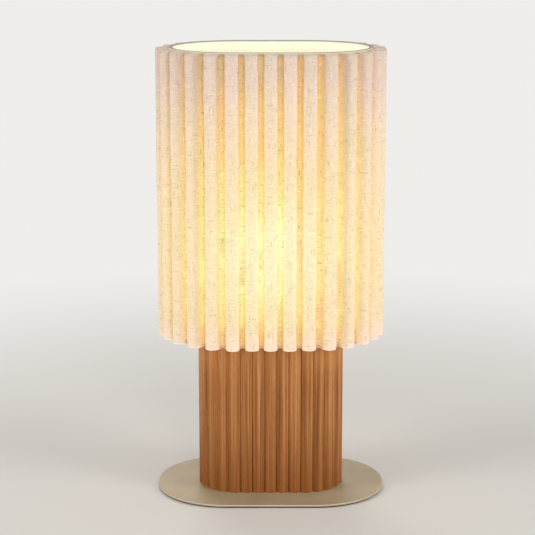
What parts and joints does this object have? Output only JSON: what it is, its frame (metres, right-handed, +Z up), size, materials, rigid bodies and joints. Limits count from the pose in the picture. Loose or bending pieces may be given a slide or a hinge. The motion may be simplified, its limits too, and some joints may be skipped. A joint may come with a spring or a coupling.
{
  "type": "fabric table lamp",
  "caption": "Table lamp with an oblong fluted linen shade on a reeded wooden column and a thin flat plate, with a lampholder, bulb and push-through switch bar.",
  "frame": {"origin": "middle of the underside of the pad, on the surface the lamp stands on", "axes": "+Z up, X along the long axis of the oblong plan, front of the lamp toward -Y"},
  "size_m": [0.233, 0.162, 0.455],
  "materials": {
    "pad_foam": "fine closed-cell foam",
    "plate_coating": "matte powder coat, warm grey-beige",
    "zinc_steel": "zinc plated",
    "core_wood": "raw plywood",
    "board_wood": "oiled plywood",
    "reed_wood": "satin lacquer, grain along the reeds",
    "dark_plastic": "moulded",
    "holder_plastic": "moulded, off-white",
    "switch_plastic": "moulded, off-white",
    "white_ceramic": "unglazed",
    "brass": "pressed sheet",
    "linen": "slubbed plain weave, light behind it",
    "liner_film": "translucent film",
    "edge_tape": "narrow woven tape",
    "white_wire": "white coating",
    "opal_plastic": "opal, lit",
    "housing_plastic": "white",
    "board_aluminium": "white-masked face",
    "led_phosphor": "phosphor, lit",
    "board_green": "glass-fibre board",
    "nickel": "nickel plated",
    "black_glass": "black glass"
  },
  "bodies": {
    "base": {"base_pad": "pad_foam", "base_plate": "plate_coating", "base_screws": "zinc_steel", "column_core": "core_wood", "column_foot_board": "core_wood", "column_top_board": "board_wood", "reeds_front": "reed_wood", "reeds_right": "reed_wood", "reeds_back": "reed_wood", "reeds_left": "reed_wood", "cable_bush": "dark_plastic", "lamp_pipe": "zinc_steel", "pipe_washers": "zinc_steel", "pipe_nuts": "zinc_steel", "holder_cap": "holder_plastic", "contact_block": "white_ceramic", "terminal_blocks": "brass", "terminal_screws": "zinc_steel", "centre_contact": "brass", "lamp_screw_shell": "brass", "holder_skirt": "holder_plastic"},
    "switch": {"switch_bar": "switch_plastic"},
    "shade": {"shade_fabric": "linen", "shade_liner": "liner_film", "top_wire": "white_wire", "top_edge_tape": "edge_tape", "bottom_edge_tape": "edge_tape", "bottom_wire": "white_wire", "carrier_arms": "white_wire", "carrier_ring": "white_wire"},
    "clamp_ring": {"retaining_ring": "holder_plastic"},
    "bulb": {"bulb_diffuser": "opal_plastic", "bulb_housing": "housing_plastic", "bulb_led_board": "board_aluminium", "bulb_leds": "led_phosphor", "bulb_driver_board": "board_green", "bulb_capacitor": "dark_plastic", "bulb_screw_cap": "nickel", "bulb_cap_insulator": "black_glass", "bulb_tip_contact": "nickel"}
  },
  "joints": [
    {"name": "switch_push", "type": "slide", "parent": "base", "child": "switch", "axis": [0, 1, 0], "range_m": [0, 0.006]},
    {"name": "shade_turn", "type": "hinge", "parent": "base", "child": "shade", "pos_m": [0, 0, 0.213], "axis": [0, 0, 1], "range_deg": [-38, 38]},
    {"name": "retaining_ring_turn", "type": "hinge", "parent": "base", "child": "clamp_ring", "pos_m": [0, 0, 0.218], "axis": [0, 0, 1], "range_deg": [0, 1080]},
    {"name": "bulb_lift", "type": "slide", "parent": "base", "child": "bulb", "axis": [0, 0, 1], "range_m": [0, 0.245]}
  ]
}
